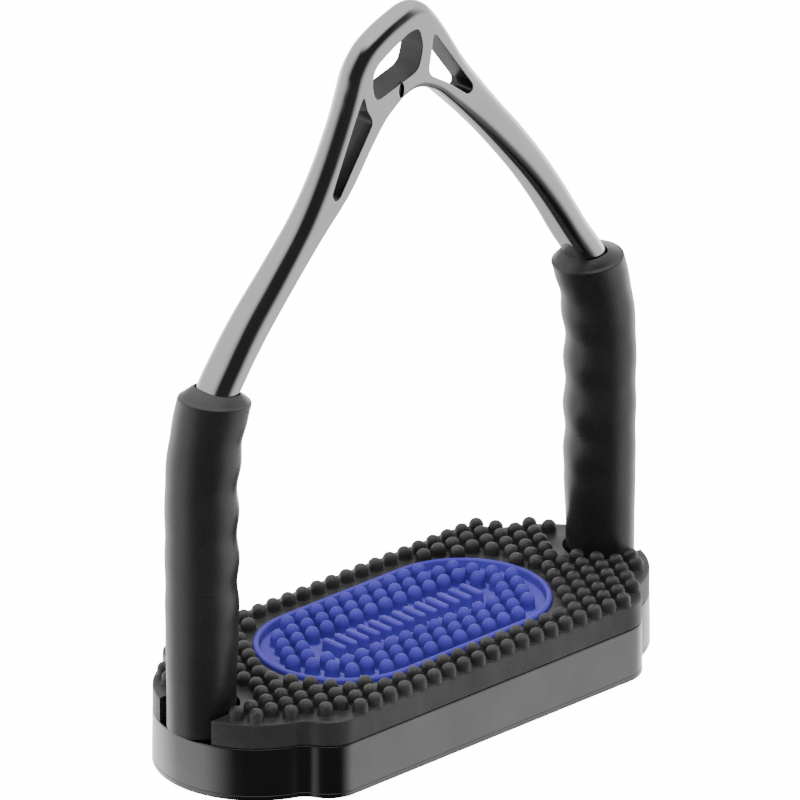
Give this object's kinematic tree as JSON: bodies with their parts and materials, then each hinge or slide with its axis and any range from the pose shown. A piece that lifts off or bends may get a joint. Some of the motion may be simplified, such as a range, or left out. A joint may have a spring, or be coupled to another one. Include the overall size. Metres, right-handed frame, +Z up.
{
  "type": "stirrup iron",
  "caption": "Jointed riding stirrup iron: bow with an offset leather eye, rubber-sleeved flexible branches and a studded foot tread.",
  "frame": {"origin": "ground under the middle of the tread, at the centre of the bounding box's bottom", "axes": "+X along the tread to the right branch, -Y towards the tread's front edge, +Z up through the bow"},
  "size_m": [0.1578, 0.0664, 0.1908],
  "materials": {
    "dark_chrome": "polished dark steel",
    "pin_steel": "plain turned steel",
    "black_rubber": "satin moulded rubber",
    "blue_rubber": "satin moulded rubber"
  },
  "bodies": {
    "tread": {"tread_frame": "dark_chrome", "base_plate": "dark_chrome", "base_screw_1": "pin_steel", "base_screw_2": "pin_steel", "base_screw_3": "pin_steel", "base_screw_4": "pin_steel", "base_screw_5": "pin_steel", "base_screw_6": "pin_steel", "tread_pad": "black_rubber", "pad_plate": "pin_steel", "pad_screw_1": "pin_steel", "pad_screw_2": "pin_steel", "pad_screw_3": "pin_steel", "pad_screw_4": "pin_steel", "pad_insert": "blue_rubber", "left_post": "dark_chrome", "right_post": "dark_chrome", "left_post_screw": "pin_steel", "right_post_screw": "pin_steel", "left_tilt_pin": "pin_steel", "right_tilt_pin": "pin_steel"},
    "left_knuckle_set": {"left_knuckle": "dark_chrome", "left_lower_sway_pin": "pin_steel"},
    "left_link_set": {"left_link": "dark_chrome", "left_upper_bush": "pin_steel", "left_sleeve": "black_rubber"},
    "bow_set": {"bow": "dark_chrome", "left_upper_sway_pin": "pin_steel", "right_upper_sway_pin": "pin_steel"},
    "right_knuckle_set": {"right_knuckle": "dark_chrome", "right_lower_sway_pin": "pin_steel"},
    "right_link_set": {"right_link": "dark_chrome", "right_sleeve": "black_rubber"},
    "right_bush_set": {"right_upper_bush": "pin_steel"}
  },
  "joints": [
    {"name": "tilt_left", "type": "hinge", "parent": "tread", "child": "left_knuckle_set", "pos_m": [-0.0696, 0, 0.0248], "axis": [1, 0, 0], "range_deg": [-18, 18], "stiffness_Nm_per_rad": 1.5, "deforming": ["left_sleeve", "right_sleeve"]},
    {"name": "sway_left_lower", "type": "hinge", "parent": "left_knuckle_set", "child": "left_link_set", "pos_m": [-0.0696, 0, 0.0368], "axis": [0, 1, 0], "range_deg": [-8, 8], "stiffness_Nm_per_rad": 1.5, "deforming": ["left_sleeve", "right_sleeve"]},
    {"name": "sway_left_upper", "type": "hinge", "parent": "left_link_set", "child": "bow_set", "pos_m": [-0.0696, 0, 0.0748], "axis": [0, 1, 0], "range_deg": [-8, 8], "stiffness_Nm_per_rad": 1.5, "deforming": ["left_sleeve", "right_sleeve"]},
    {"name": "tilt_right", "type": "hinge", "parent": "tread", "child": "right_knuckle_set", "pos_m": [0.0696, 0, 0.0248], "axis": [1, 0, 0], "range_deg": [-18, 18], "stiffness_Nm_per_rad": 1.5, "deforming": ["left_sleeve", "right_sleeve"]},
    {"name": "sway_right_lower", "type": "hinge", "parent": "right_knuckle_set", "child": "right_link_set", "pos_m": [0.0696, 0, 0.0368], "axis": [0, 1, 0], "range_deg": [-8, 8], "stiffness_Nm_per_rad": 1.5, "deforming": ["left_sleeve", "right_sleeve"]},
    {"name": "sway_right_upper", "type": "hinge", "parent": "bow_set", "child": "right_bush_set", "pos_m": [0.0696, 0, 0.0748], "axis": [0, 1, 0], "range_deg": [-8, 8], "stiffness_Nm_per_rad": 1.5, "deforming": ["left_sleeve", "right_sleeve"]}
  ],
  "couplings": [
    {"joint": "sway_left_upper", "follows": "sway_left_lower", "ratio": -1},
    {"joint": "tilt_right", "follows": "tilt_left", "ratio": 1},
    {"joint": "sway_right_lower", "follows": "sway_left_lower", "ratio": 1},
    {"joint": "sway_right_upper", "follows": "sway_left_lower", "ratio": 1}
  ]
}
